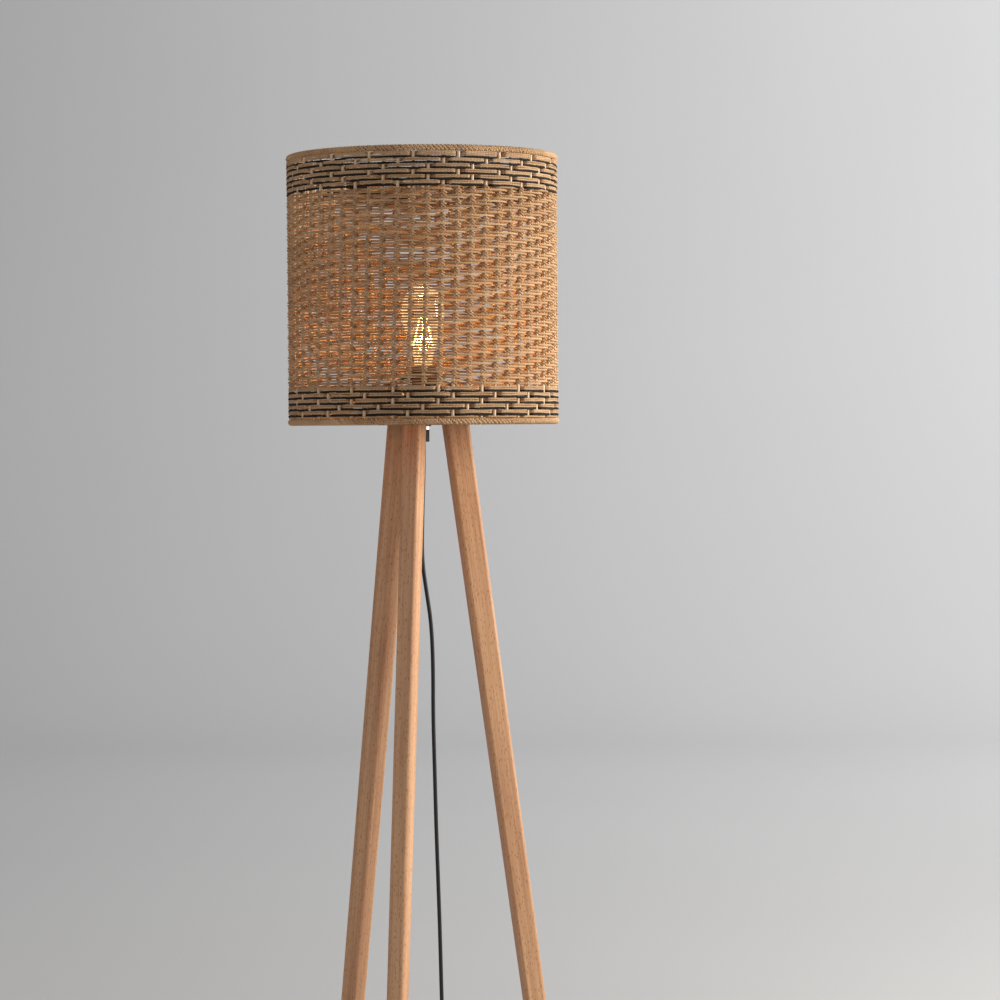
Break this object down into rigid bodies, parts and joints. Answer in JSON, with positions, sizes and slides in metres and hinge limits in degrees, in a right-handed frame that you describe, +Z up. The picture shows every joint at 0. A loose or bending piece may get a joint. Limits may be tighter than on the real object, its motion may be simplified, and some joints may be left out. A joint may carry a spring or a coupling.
{
  "type": "tripod floor lamp",
  "caption": "Floor lamp with a woven twine drum shade on a wooden tripod, with a screw-in filament bulb, a foot switch in the cord and a two-pin plug.",
  "frame": {"origin": "on the floor under the lamp's vertical axis, at the centre of the tripod's footprint", "axes": "+Z up along the lamp's axis; -Y towards the front leg; +X to the right when facing the front leg"},
  "size_m": [0.4039, 0.404, 1.4],
  "materials": {
    "beech": "oiled, open grain",
    "felt": "pressed felt",
    "zinc_steel": "bright zinc",
    "dark_steel": "black oxide",
    "grip_plastic": "moulded",
    "holder_plastic": "moulded",
    "steatite": "unglazed",
    "brass": "plain",
    "frame_wire": "powder coated",
    "jute": "twisted natural twine",
    "border_jute": "twisted natural twine with a black strand",
    "cane": "peeled round cane",
    "clear_glass": "clear",
    "filament": "lit",
    "nickel": "plated",
    "vitrite": "black glassy insulator",
    "cord_pvc": "smooth sheath",
    "core_pvc": "thin insulation",
    "switch_plastic": "fine texture",
    "plug_plastic": "fine texture",
    "soft_black": "matt"
  },
  "bodies": {
    "root": {"bottom_band": "border_jute", "bottom_rim_wrap": "jute", "bottom_ring": "frame_wire", "centre_contact": "brass", "cord_coil": "cord_pvc", "cord_drop": "cord_pvc", "cord_grip": "grip_plastic", "cord_lead": "cord_pvc", "cord_riser": "cord_pvc", "cord_tail": "cord_pvc", "core_wires": "core_pvc", "fitter_ring": "frame_wire", "foot_pads": "felt", "grip_screw": "zinc_steel", "hex_nut": "zinc_steel", "holder_base": "holder_plastic", "holder_body": "holder_plastic", "holder_insulator": "steatite", "hub_disc": "beech", "leg_bolts": "zinc_steel", "leg_dowels": "beech", "leg_front": "beech", "leg_inserts": "dark_steel", "leg_left": "beech", "leg_right": "beech", "leg_washers": "zinc_steel", "lower_washer": "dark_steel", "plug_body": "plug_plastic", "plug_cord_end": "cord_pvc", "plug_pins": "nickel", "plug_sleeve": "soft_black", "shade_ring_lower": "holder_plastic", "shade_ring_upper": "holder_plastic", "spider_arms": "frame_wire", "stakes": "cane", "switch_base": "switch_plastic", "switch_block": "switch_plastic", "switch_contacts": "brass", "switch_cord_ends": "cord_pvc", "switch_cover": "switch_plastic", "switch_screws": "zinc_steel", "switch_sleeves": "soft_black", "switch_spring": "nickel", "terminal_screws": "nickel", "terminals": "brass", "thread_shell": "brass", "threaded_tube": "zinc_steel", "top_band": "border_jute", "top_rim_wrap": "jute", "top_ring": "frame_wire", "upper_washer": "zinc_steel", "woven_panel": "jute"},
    "switch_button": {"switch_button": "switch_plastic"},
    "bulb_tip": {"bulb_tip": "nickel"},
    "bulb": {"bulb_cap": "nickel", "bulb_glass": "clear_glass", "bulb_insulator": "vitrite", "bulb_stem": "clear_glass", "bulb_filaments": "filament"}
  },
  "joints": [
    {"name": "switch_press", "type": "slide", "parent": "root", "child": "switch_button", "axis": [0, 0, -1], "range_m": [0, 0.003], "stiffness_N_per_m": 900, "springref_m": -0.002, "deforming": ["switch_spring"]},
    {"name": "bulb_lift", "type": "slide", "parent": "root", "child": "bulb_tip", "axis": [0, 0, 1], "range_m": [0, 0.0127]},
    {"name": "bulb_turn", "type": "hinge", "parent": "bulb_tip", "child": "bulb", "pos_m": [0, 0, 1.084], "axis": [0, 0, 1], "range_deg": [0, 1260]}
  ],
  "couplings": [
    {"joint": "bulb_turn", "follows": "bulb_lift", "rad_per_m": 1731.4}
  ]
}
